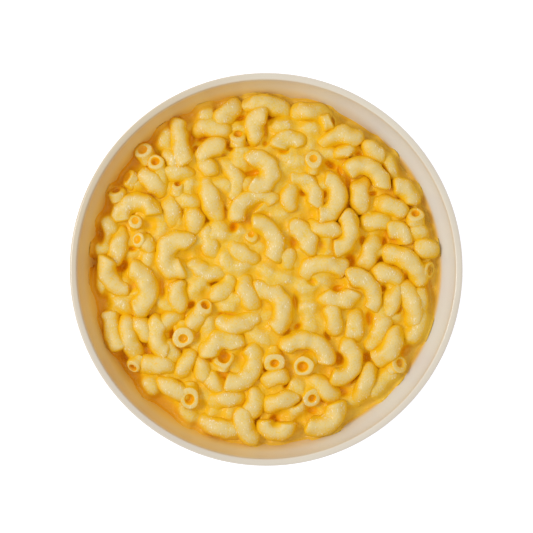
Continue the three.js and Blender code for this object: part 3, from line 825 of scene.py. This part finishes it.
def tube(arc, first_end, seed):
    """Points, faces and which points lie in the bore, of a slightly uneven tube along an arc."""
    rng = np.random.default_rng(seed)
    radius = arc.tube_radius
    last_end = rounded_end(radius)
    end_length = END_SHARE * radius
    count = max(2, round((arc.length - end_length * 2) / RING_STEP))
    body = np.linspace(end_length, arc.length - end_length, count + 1)[1:-1]
    profile = np.concatenate(
        [
            first_end,
            np.stack([body, np.full(len(body), radius)], -1),
            (last_end * (-1, 1) + (arc.length, 0))[::-1],
        ]
    )
    points, outward, across = arc.frame_at(profile[:, 0])
    angles = 2 * math.pi * np.arange(TUBE_SIDES) / TUBE_SIDES
    heading = np.cross(across, outward)
    slant_reach = SLANT_REACH * radius
    skew = 0
    for distance in (arc.length - profile[:, 0], profile[:, 0]):
        near_end = 1 - smooth_step(0, slant_reach, distance)
        skew = skew + SLANT * radius * rng.uniform(-1, 1) * near_end
    oval = 1 + rng.uniform(-OVAL, OVAL)
    spokes = (
        outward[:, None] * np.cos(angles)[None, :, None] * oval
        + across[:, None] * np.sin(angles)[None, :, None] / oval
    )
    rings = points[:, None] + spokes * profile[:, 1][:, None, None]
    turns = np.cos(angles - rng.uniform(0, 2 * math.pi))
    skewed = (skew * profile[:, 1] / radius)[:, None] * turns
    rings = rings + heading[:, None] * skewed[..., None]
    lumps = LUMP * (1 + wave_noise(rings, LUMP_LENGTH, seed))
    rings = rings + spokes * (profile[:, 1][:, None] * lumps)[..., None]
    rim = first_end[:, 0].argmin()
    sunk = np.repeat(np.arange(len(profile)) < rim - 1, TUBE_SIDES)
    return rings.reshape(-1, 3), ring_faces(len(profile), TUBE_SIDES)[:, ::-1], sunk


def joined(tubes):
    """The points, the faces and the points in a bore of many tubes as those of one mesh."""
    start = 0
    points, faces, sunk = [], [], []
    for tube_points, tube_faces, tube_sunk in tubes:
        points.append(tube_points)
        faces.append(tube_faces + start)
        sunk.append(tube_sunk)
        start += len(tube_points)
    return np.concatenate(points), np.concatenate(faces), np.concatenate(sunk)


# ---------------------------------------------------------------- sauce


def sauce_level(x, y):
    """Height of the sauce before it gathers round the elbows."""
    angle = np.arctan2(y, x) - HIGH_SIDE
    edge = np.interp(SAUCE_HEIGHT, *wall_profile().T[::-1])
    share = np.clip(np.hypot(x, y) / edge, 0, 1)
    tilt = SAUCE_TILT * np.cos(angle) + SAUCE_WAVE * np.cos(2 * angle)
    dip = SAUCE_DIP * facing(x, y, *DRY_ZONE)
    outer = share**SWELL_POWER
    level = SAUCE_HEIGHT - SAUCE_DROP + SAUCE_SWELL * (1 - outer) + tilt * outer
    return level - dip * share**DIP_POWER


class Field:
    """A height over the plan, on a square grid."""

    axis = np.arange(-FIELD_HALF, FIELD_HALF + FIELD_STEP / 2, FIELD_STEP)

    def __init__(self, values):
        self.values = values

    def at(self, x, y):
        """The height between the grid's points."""
        last = len(self.axis) - 1.001
        column = np.clip((x + FIELD_HALF) / FIELD_STEP, 0, last)
        row = np.clip((y + FIELD_HALF) / FIELD_STEP, 0, last)
        i, j = row.astype(int), column.astype(int)
        di, dj = row - i, column - j
        v = self.values
        return (
            v[i, j] * (1 - di) * (1 - dj)
            + v[i + 1, j] * di * (1 - dj)
            + v[i, j + 1] * (1 - di) * dj
            + v[i + 1, j + 1] * di * dj
        )


def elbow_heights(arcs, tuck=0.0):
    """Height of the elbows' upper side, or of what lies a little below it, over the grid."""
    size = len(Field.axis)
    heights = np.full((size, size), -np.inf)
    for arc in arcs:
        reach = math.ceil(arc.tube_radius / FIELD_STEP) + 1
        inset = min(arc.tube_radius * END_INSET, arc.length / 3)
        count = math.ceil(arc.length / FIELD_STEP)
        points, _, _ = arc.frame_at(np.linspace(inset, arc.length - inset, count))
        for x, y, z in points:
            column = round((x + FIELD_HALF) / FIELD_STEP)
            row = round((y + FIELD_HALF) / FIELD_STEP)
            rows = slice(row - reach, row + reach + 1)
            columns = slice(column - reach, column + reach + 1)
            dx = Field.axis[columns][None, :] - x
            dy = Field.axis[rows][:, None] - y
            square = (arc.tube_radius - tuck) ** 2 - dx**2 - dy**2
            cap = np.where(square > 0, z + np.sqrt(np.maximum(square, 0)), -np.inf)
            heights[rows, columns] = np.maximum(heights[rows, columns], cap)
    return heights


def shifted(values, rows, columns):
    return np.roll(values, (rows, columns), (0, 1))


def closed_by_ball(values, radius):
    """What a ball of the radius can't reach from above is filled up to where it can."""
    reach = int(radius / FIELD_STEP)
    ball = [
        (i, j, math.sqrt(max(0, radius**2 - (i * i + j * j) * FIELD_STEP**2)) - radius)
        for i in range(-reach, reach + 1)
        for j in range(-reach, reach + 1)
        if (i * i + j * j) * FIELD_STEP**2 <= radius**2
    ]
    raised = np.max([shifted(values, i, j) + drop for i, j, drop in ball], axis=0)
    return np.min([shifted(raised, i, j) - drop for i, j, drop in ball], axis=0)


def blurred(values, length):
    """The mean over about a length round each point."""
    rows = np.fft.fftfreq(values.shape[0], FIELD_STEP)[:, None]
    columns = np.fft.rfftfreq(values.shape[1], FIELD_STEP)[None, :]
    keep = np.exp(-2 * (math.pi * length) ** 2 * (rows**2 + columns**2))
    return np.fft.irfft2(np.fft.rfft2(values) * keep, values.shape)


def sauce_fields(bare, covered, open_arcs):
    """The sauce's surface, the mean height of the food around each point, and the painted shade
    of hollows.

    The sauce gathers round the bare elbows, and lies over the covered ones.
    """
    x, y = np.meshgrid(Field.axis, Field.axis)
    flat = np.stack([x, y], -1)
    uneven = 1 - smooth_step(*CALM_RING, np.hypot(x, y))
    level = sauce_level(x, y) + RIPPLE * uneven * wave_noise(flat, RIPPLE_LENGTH, RIPPLE_SEED)
    climb = CLIMB + CLIMB_SPREAD * wave_noise(flat, CLIMB_LENGTH, CLIMB_SEED)
    near_wall = smooth_step(*WALL_ZONE, np.hypot(x, y)) * facing(x, y, *GAP_ZONE)
    climb = climb + WALL_CLIMB * near_wall
    elbows = elbow_heights(bare + open_arcs)
    gathered = np.minimum(elbow_heights(bare + open_arcs, TUCK), level + np.maximum(climb, 0))
    gathered = np.maximum(gathered, elbow_heights(covered))
    surface = closed_by_ball(np.maximum(level, gathered), FILLET_RADIUS)
    side = wall_profile()
    wall = np.interp(np.hypot(x, y), side[:, 0], side[:, 1])
    surface = closed_by_ball(np.maximum(surface, wall), WALL_FILLET)
    surface = blurred(surface, COVER_BLUR)
    surface = surface - WALL_SINK * (1 - smooth_step(0, THIN, surface - wall))
    pits = sum(hollow[-1] * np.exp(-(hollow_share(x, y, hollow) ** HOLLOW_POWER)) for hollow in HOLLOWS)
    surface = surface - HOLLOW_SHAPE * pits
    around = blurred(np.maximum(surface, elbows), AROUND)
    surface = surface + CURD * uneven * wave_noise(flat, CURD_LENGTH, CURD_SEED)
    for arc in open_arcs:
        mouth = arc.at(arc.start + arc.tube_radius / 2 / arc.radius)
        distance = np.hypot(x - mouth[0], y - mouth[1]) / arc.tube_radius
        surface = surface - MOUTH_DEPTH * (1 - smooth_step(*MOUTH_EDGE, distance))
    return Field(surface), Field(around), Field(HOLLOW_PAINTED_SHADE * pits)


def disc_grid(cells):
    """A square grid drawn into a disc of radius 1, with even cells."""
    axis = np.linspace(-1, 1, cells + 1)
    u, v = np.meshgrid(axis, axis)
    wide = np.abs(u) > np.abs(v)
    radius = np.where(wide, u, v)
    safe = np.where(radius == 0, 1, radius)
    turn = np.where(wide, math.pi / 4 * v / safe, math.pi / 2 - math.pi / 4 * u / safe)
    return radius * np.cos(turn), radius * np.sin(turn)


def make_sauce(surface, material):
    """The sauce as one closed body down to the bowl's floor."""
    cells = SAUCE_CELLS
    side = wall_profile()
    u, v = disc_grid(cells)
    edge_height = sauce_level(u * INNER_RADIUS, v * INNER_RADIUS) + EDGE_CLIMB
    edge = np.interp(edge_height, side[:, 1], side[:, 0]) + WALL_REACH
    x, y = u * edge, v * edge
    top = np.stack([x, y, surface.at(x, y)], -1).reshape(-1, 3)
    n = cells + 1
    index = np.arange(n * n).reshape(n, n)
    faces = np.stack([index[:-1, :-1], index[:-1, 1:], index[1:, 1:], index[1:, :-1]], -1)
    rim = np.concatenate([index[0, :-1], index[:-1, -1], index[-1, :0:-1], index[:0:-1, 0]])
    bearing = np.arctan2(top[rim, 1], top[rim, 0])
    under = wall_profile(-UNDER_GAP, -UNDER_GAP, UNDER_STEPS)
    under = under[under[:, 1] < UNDER_TOP][::-1]
    under[-1, 0] = AXIS_GAP
    points = np.concatenate([top, turned(under, bearing)])
    chain = np.concatenate([rim, np.arange(len(top), len(points))])
    skirt = chain[ring_faces(len(under) + 1, len(rim))][:, ::-1]
    all_faces = np.concatenate([faces.reshape(-1, 4), skirt]).tolist()
    all_faces.append(list(range(len(points) - len(rim), len(points))))
    return make_piece("cheese_sauce", points, all_faces, material)


def store_relief(piece, around, drops):
    """Keeps how far each point stands above the food round it and how much sky is hidden from it.

    The material reads both. Deep in a gap and on a steep side the sauce is in part thicker, and in
    part its colour is painted light: where less sky reaches it is made brighter and deeper yellow,
    as light scattered through the sauce would make it.
    """
    mesh = piece.data
    count = len(mesh.vertices)
    points = np.empty(count * 3, np.float32)
    mesh.vertices.foreach_get("co", points)
    normals = np.empty(count * 3, np.float32)
    mesh.vertex_normals.foreach_get("vector", normals)
    x, y, z = (points.reshape(-1, 3) / MM).T
    steep = 1 - np.clip(normals.reshape(-1, 3)[:, 2], 0, 1) ** 2
    above = z - around.at(x, y) - drops(x, y)
    relief = above + HEIGHT_SHARE * (z - SAUCE_HEIGHT)
    shade = np.clip(STEEP_SHADE * steep + GAP_SHADE * np.maximum(-above, 0), 0, 1)
    for key, values in (("relief", relief), ("shade", shade)):
        stored = mesh.attributes.new(key, "FLOAT", "POINT")
        stored.data.foreach_set("value", values.astype(np.float32))


# ---------------------------------------------------------------- materials


class Nodes:
    """Adds nodes to a material and links them."""

    def __init__(self, name):
        self.material = bpy.data.materials.new(name)
        self.material.use_nodes = True
        self.tree = self.material.node_tree
        self.shader = self.tree.nodes["Principled BSDF"]

    def put(self, socket, value):
        """Links another node's output to a socket, or sets the socket to a value."""
        if isinstance(value, bpy.types.NodeSocket):
            self.tree.links.new(value, socket)
        else:
            socket.default_value = value

    def add(self, kind, values=None, **settings):
        node = self.tree.nodes.new("ShaderNode" + kind)
        for key, value in settings.items():
            setattr(node, key, value)
        for key, value in (values or {}).items():
            self.put(node.inputs[key], value)
        return node

    def set(self, **values):
        for key, value in values.items():
            self.put(self.shader.inputs[key.replace("_", " ")], value)

    def noise(self, place, length, detail=2, roughness=0.5):
        """Noise whose features are about a length in millimetres."""
        return self.add(
            "TexNoise",
            {
                "Vector": place,
                "Scale": 1 / (length * MM),
                "Detail": detail,
                "Roughness": roughness,
            },
        ).outputs["Fac"]

    def math(self, operation, first, second=0.0, third=0.0):
        return self.add("Math", {0: first, 1: second, 2: third}, operation=operation).outputs[0]

    def radius(self, place):
        """Distance from the middle of the bowl in plan."""
        flat = self.add("VectorMath", {0: place, 1: (1, 1, 0)}, operation="MULTIPLY").outputs[0]
        return self.add("VectorMath", {0: flat}, operation="LENGTH").outputs["Value"]

    def fade(self, value, start, end):
        """0 at the start and 1 at the end, with a smooth step between them."""
        node = self.add(
            "MapRange",
            {"Value": value, "From Min": start, "From Max": end},
            interpolation_type="SMOOTHSTEP",
        )
        return node.outputs["Result"]

    def fade_mm(self, value, start, end):
        """The same for a length."""
        return self.fade(value, start * MM, end * MM)

    def facing(self, bearing, side, start, end):
        """1 towards a side and 0 away from it. Start and end are cosines of the angle from it."""
        return self.fade(self.math("COSINE", self.math("SUBTRACT", bearing, side)), start, end)

    def swayed(self, value, noise, amount):
        """The value, higher where the noise is high and lower where it is low."""
        return self.math("MULTIPLY_ADD", self.math("SUBTRACT", noise, 0.5), amount, value)

    def product(self, first, *others):
        for other in others:
            first = self.math("MULTIPLY", first, other)
        return first

    def ramp(self, value, stops):
        node = self.add("ValToRGB", {"Fac": value})
        elements = node.color_ramp.elements
        for _ in stops[2:]:
            elements.new(0.5)
        for element, (position, colour) in zip(elements, stops):
            element.position = position
            element.color = (*colour, 1)
        return node.outputs["Color"]

    def mix(self, share, first, second):
        colours = [(*c, 1) if isinstance(c, tuple) else c for c in (first, second)]
        values = {0: share, 6: colours[0], 7: colours[1]}
        return self.add("Mix", values, data_type="RGBA").outputs[2]


def cheese_material():
    """Cheese sauce: pale where it is thin on the pasta, deep yellow where it gathers.

    In part both are painted light: painted shade in gaps and on steep sides, and painted
    highlight and glints on the crests.
    """
    nodes = Nodes("cheese_sauce_on_pasta")
    place = nodes.add("TexCoord").outputs["Object"]
    relief = nodes.add("Attribute", attribute_name="relief").outputs["Fac"]
    shade = nodes.add("Attribute", attribute_name="shade").outputs["Fac"]
    patches = nodes.noise(place, PATCH_LENGTH)
    grain = nodes.noise(place, GRAIN_LENGTH, roughness=GRAIN_ROUGHNESS)
    # Colours by relief: deeper in gaps, partly as painted shade, and paler on crests, partly as painted
    # highlight.
    lowest, highest = LIT_RELIEF
    height = nodes.add(
        "MapRange", {"Value": relief, "From Min": lowest, "From Max": highest}, clamp=True
    ).outputs["Result"]
    height = nodes.swayed(height, patches, PATCH_SHARE)
    lit = nodes.ramp(nodes.swayed(height, grain, GRAIN_SHARE), LIT_COLOURS)
    # Painted light: where less sky reaches, the lit colours give way to brighter, deeper yellow shaded
    # ones.
    hidden = nodes.fade(nodes.swayed(shade, grain, GRAIN_SHADE), *SHADE_RANGE)
    shaded = nodes.mix(nodes.fade(relief, *DEEP_RELIEF), SHADED_SIDE_COLOUR, SHADED_GAP_COLOUR)
    colour = nodes.mix(hidden, lit, shaded)

    # Painted glints: pale streaks on the crests.
    glint_streaks = nodes.add(
        "Mapping",
        {"Vector": place, "Rotation": (0, 0, GLINT_HEADING), "Scale": (1, GLINT_SQUEEZE, 1)},
    ).outputs[0]
    painted_glints = nodes.product(
        nodes.fade(nodes.noise(glint_streaks, GLINT_LENGTH, detail=1), *GLINT_RANGE),
        nodes.fade(patches, *GLINT_PATCHES),
        nodes.fade(relief, *GLINT_RELIEF),
    )
    colour = nodes.mix(painted_glints, colour, GLINT_COLOUR)
    specks = nodes.fade(nodes.noise(place, SPECK_LENGTH, detail=1), *SPECK_RANGE)
    colour = nodes.mix(nodes.product(specks, SPECK_SHARE), colour, SPECK_COLOUR)

    # Along the wall the sauce is deeper yellow where the food lies low, partly as painted shade, and on
    # the left as painted shade of the wall.
    edge = nodes.product(
        nodes.fade_mm(nodes.radius(place), *EDGE_RING),
        nodes.fade(relief, *EDGE_RELIEF),
        EDGE_SHARE,
    )
    east = nodes.add("SeparateXYZ", {"Vector": place}).outputs["X"]
    edge_colour = nodes.mix(nodes.fade_mm(east, *EDGE_LEFT), EDGE_COLOUR, PAINTED_EDGE_SHADE)
    colour = nodes.mix(edge, colour, edge_colour)

    bump = nodes.add(
        "Bump", {"Height": grain, "Distance": GRAIN_DEPTH * MM, "Strength": GRAIN_STRENGTH}
    ).outputs["Normal"]
    nodes.set(
        Base_Color=colour,
        Roughness=CHEESE_ROUGHNESS,
        Specular_IOR_Level=CHEESE_SPECULAR,
        Coat_Weight=CHEESE_COAT,
        Coat_Roughness=CHEESE_COAT_ROUGHNESS,
        Normal=bump,
        Coat_Normal=bump,
    )
    return nodes.material


def glaze_material():
    """Warm white glaze with a faint speckle, and painted shade and sauce on the inside.

    The whole glaze is painted darker and warmer towards the left. The inner wall on the left,
    which faces away from the key light, has painted shade, tan as if lit by the food, and a line
    of sauce colour runs just above the food, deepened there as painted shade.
    """
    nodes = Nodes("warm_white_glaze")
    place = nodes.add("TexCoord").outputs["Object"]
    east, north, up = nodes.add("SeparateXYZ", {"Vector": place}).outputs
    bearing = nodes.math("ARCTAN2", north, east)
    speckle = nodes.noise(place, SPECKLE_LENGTH, detail=SPECKLE_DETAIL)
    cloud = nodes.noise(place, CLOUD_LENGTH)
    colour = nodes.ramp(nodes.swayed(cloud, speckle, SPECKLE_SHARE), GLAZE_COLOURS)
    # Painted shade: darker towards the left, warmer towards the upper left.
    painted_shade = nodes.product(nodes.facing(bearing, *PAINTED_SHADE_ZONE), PAINTED_SHADE_SHARE)
    painted_shade_colour = nodes.mix(nodes.facing(bearing, *WARM_SHADE_ZONE), PAINTED_RIM_SHADE, PAINTED_WARM_SHADE)
    colour = nodes.mix(painted_shade, colour, painted_shade_colour)

    radius = nodes.radius(place)
    rise = nodes.math("POWER", nodes.math("DIVIDE", radius, INNER_RADIUS * MM), WALL_POWER)
    wall = nodes.math("MULTIPLY_ADD", rise, INNER_DEPTH * MM, FLOOR_HEIGHT * MM)
    behind = nodes.math("SUBTRACT", wall, up)
    inside = nodes.product(
        nodes.fade_mm(radius, *INSIDE_EDGE), nodes.fade_mm(behind, *INSIDE_DEPTH)
    )
    colour = nodes.mix(inside, colour, INSIDE_TINT)
    # Painted shade on the left of the inner wall, tan as if lit by the food.
    wall_shade = nodes.product(nodes.facing(bearing, *WALL_SHADE_ZONE), inside)
    colour = nodes.mix(wall_shade, colour, WALL_SHADE_COLOUR)
    # A line of sauce colour just above the food: partly sauce, partly painted shade where the food
    # meets the wall, and wider within the painted wall shade.
    wide = nodes.product(wall_shade, nodes.fade_mm(up, *LINE_WIDE))
    narrow = nodes.product(nodes.fade_mm(up, *LINE_NARROW), nodes.facing(bearing, *LINE_ZONE))
    line = nodes.product(nodes.math("MAXIMUM", wide, narrow), inside)
    colour = nodes.mix(line, colour, LINE_COLOUR)
    nodes.set(
        Base_Color=colour,
        Roughness=GLAZE_ROUGHNESS,
        Coat_Weight=GLAZE_COAT,
        Coat_Roughness=GLAZE_COAT_ROUGHNESS,
    )
    return nodes.material


def table_material():
    nodes = Nodes("white_table")
    nodes.set(
        Base_Color=(*TABLE_COLOUR, 1),
        Roughness=TABLE_ROUGHNESS,
        Emission_Color=(1, 1, 1, 1),
        Emission_Strength=TABLE_GLOW,
    )
    return nodes.material


# ---------------------------------------------------------------- stage


def make_light():
    data = bpy.data.lights.new("key", "AREA")
    data.shape = "DISK"
    data.size = KEY_SIZE * MM
    data.energy = KEY_LEVEL * math.pi * math.pi * (KEY_DISTANCE * MM) ** 2
    key = bpy.data.objects.new("key", data)
    flat = in_plan(KEY_BEARING) * math.cos(KEY_ELEVATION)
    direction = Vector(flat + UP * math.sin(KEY_ELEVATION))
    key.location = direction * KEY_DISTANCE * MM
    key.rotation_euler = direction.to_track_quat("Z", "Y").to_euler()
    bpy.context.scene.collection.objects.link(key)


def make_sky():
    world = bpy.data.worlds.new("sky")
    bpy.context.scene.world = world
    world.use_nodes = True
    tree = world.node_tree
    background = tree.nodes["Background"]
    background.inputs["Color"].default_value = (1, 1, 1, 1)
    path = tree.nodes.new("ShaderNodeLightPath")
    level = tree.nodes.new("ShaderNodeMapRange")
    level.inputs["To Min"].default_value = SKY_LEVEL
    level.inputs["To Max"].default_value = SKY_SHOWN
    tree.links.new(path.outputs["Is Camera Ray"], level.inputs["Value"])
    tree.links.new(level.outputs["Result"], background.inputs["Strength"])


def make_floor():
    bpy.ops.mesh.primitive_plane_add(size=TABLE_SIZE * MM)
    floor = bpy.context.object
    floor.name = "floor"
    floor.data.materials.append(table_material())


def make_camera():
    data = bpy.data.cameras.new("camera")
    data.lens = LENS
    data.sensor_width = SENSOR
    camera = bpy.data.objects.new("camera", data)
    pixel = 2 * RIM_RADIUS / BOWL_PIXELS
    distance = LENS / SENSOR * PICTURE_SIZE * pixel
    right = (PICTURE_SIZE / 2 - BOWL_MIDDLE[0]) * pixel
    up = (BOWL_MIDDLE[1] - PICTURE_SIZE / 2) * pixel
    camera.location = Vector((right, up, RIM_HEIGHT + distance)) * MM
    bpy.context.scene.collection.objects.link(camera)
    bpy.context.scene.camera = camera
    bpy.context.scene.view_settings.view_transform = "Standard"


# ---------------------------------------------------------------- the dish


def make_elbows(name, arcs, first_ends, seed, around, material):
    """Elbows as real tubes, in one piece."""
    tubes = [tube(arc, end, seed + i) for i, (arc, end) in enumerate(zip(arcs, first_ends))]
    points, faces, sunk = joined(tubes)
    piece = make_piece(name, points, faces, material)
    # Points in a bore count as lower, so they take the painted shade of gaps.
    store_relief(piece, around, lambda x, y: BORE_SHADE_DROP * sunk)


def make_food(material):
    """The sauce, and the elbows that stand out of it."""
    lying = [placed_elbow(row, i) for i, row in enumerate(ELBOWS)]
    standing = [clear_of_wall(standing_arc(row)) for row in STANDING]
    bare = [arc for arc, row in zip(lying, ELBOWS) if row[-1] > LOW]
    covered = [arc for arc, row in zip(lying, ELBOWS) if row[-1] == LOW]
    covered += fill_arcs(lying + standing)
    surface, around, painted_shade = sauce_fields(bare, covered, standing)
    sauce = make_sauce(surface, material)
    store_relief(sauce, around, painted_shade.at)
    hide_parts("macaroni")
    closed_ends = [rounded_end(arc.tube_radius) for arc in bare]
    make_elbows("elbows_on_top", bare, closed_ends, LYING_SEED, around, material)
    open_ends = [open_end(*row[-3:]) for row in STANDING]
    make_elbows("elbows_on_end", standing, open_ends, STANDING_SEED, around, material)


make_camera()
make_light()
make_sky()
make_floor()
make_bowl(glaze_material())
make_food(cheese_material())
